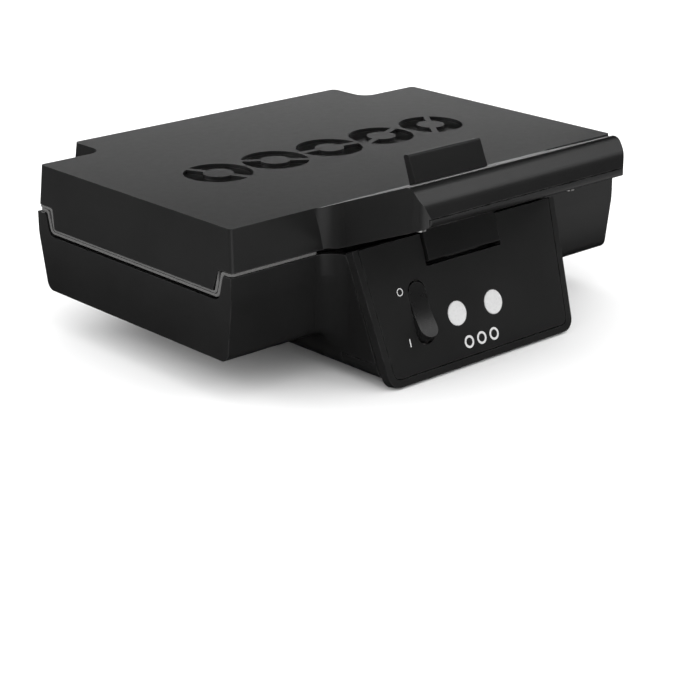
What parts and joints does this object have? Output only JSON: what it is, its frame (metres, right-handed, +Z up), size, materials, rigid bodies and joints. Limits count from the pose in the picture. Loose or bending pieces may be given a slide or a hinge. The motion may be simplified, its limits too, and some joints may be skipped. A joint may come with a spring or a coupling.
{
  "type": "donut maker",
  "caption": "Countertop donut maker with a hinged lid, raised front handle, rocking latch, slanted control panel and cast plates with ring cavities.",
  "frame": {"origin": "middle of the footprint box, on the surface the feet stand on", "axes": "+X to the right, +Y to the hinge at the back, +Z up"},
  "size_m": [0.2574, 0.2366, 0.1025],
  "materials": {
    "shell_black": "satin, fine moulded grain",
    "panel_black": "satin, very fine grain",
    "latch_black": "satin",
    "key_black": "semi gloss",
    "plate_coating": "die-cast with grey non-stick coating",
    "rod_steel": "oxidised tube",
    "sheet_steel": "bright sheet",
    "screw_steel": "zinc plated",
    "lens_white": "translucent white",
    "lamp_glass": "clear",
    "switch_nylon": "matt nylon",
    "lead_sleeve": "glass fibre sleeve",
    "gland_rubber": "matt",
    "foot_rubber": "matt"
  },
  "bodies": {
    "base": {"base_housing": "shell_black", "front_foot_cover": "shell_black", "base_cover": "shell_black", "panel_frame": "panel_black", "control_panel": "panel_black", "panel_screws": "screw_steel", "latch_catch": "panel_black", "switch_body": "switch_nylon", "power_lens": "lens_white", "ready_lens": "lens_white", "power_lamp": "lamp_glass", "ready_lamp": "lamp_glass", "lamp_carrier": "panel_black", "lower_plate": "plate_coating", "lower_element": "rod_steel", "lower_terminals": "screw_steel", "lower_reflector": "sheet_steel", "lower_plate_screws": "screw_steel", "thermostat": "sheet_steel", "thermostat_clamp": "sheet_steel", "thermal_fuse": "switch_nylon", "fuse_strap": "sheet_steel", "terminal_block": "switch_nylon", "supply_leads": "lead_sleeve", "hinge_bracket_left": "sheet_steel", "hinge_bracket_right": "sheet_steel", "hinge_pin_left": "screw_steel", "hinge_pin_right": "screw_steel", "bracket_screws": "screw_steel", "base_cover_screws": "screw_steel", "cord_gland": "gland_rubber", "cord_wrap": "panel_black", "foot_front_left": "foot_rubber", "foot_rear_left": "foot_rubber", "foot_front_right": "foot_rubber", "foot_rear_right": "foot_rubber"},
    "lid": {"lid_housing": "shell_black", "handle_cover": "shell_black", "upper_plate": "plate_coating", "upper_element": "rod_steel", "upper_terminals": "screw_steel", "upper_reflector": "sheet_steel", "hinge_arm_left": "sheet_steel", "hinge_arm_right": "sheet_steel", "hinge_arm_screws": "screw_steel", "upper_plate_screws": "screw_steel", "handle_screws": "screw_steel", "latch_pin": "screw_steel", "latch_spring": "screw_steel"},
    "latch": {"latch_clip": "latch_black"},
    "rocker": {"switch_rocker": "key_black"}
  },
  "joints": [
    {"name": "lid_hinge", "type": "hinge", "parent": "base", "child": "lid", "pos_m": [0, 0.11006, 0.05], "axis": [-1, 0, 0], "range_deg": [0, 100]},
    {"name": "latch_pivot", "type": "hinge", "parent": "lid", "child": "latch", "pos_m": [0, -0.06604, 0.079], "axis": [-1, 0, 0], "range_deg": [0, 12], "stiffness_Nm_per_rad": 0.6, "springref_deg": -1.15},
    {"name": "rocker_pivot", "type": "hinge", "parent": "base", "child": "rocker", "pos_m": [-0.0346, -0.07886, 0.02931], "axis": [1, 0, 0], "range_deg": [0, 20]}
  ]
}
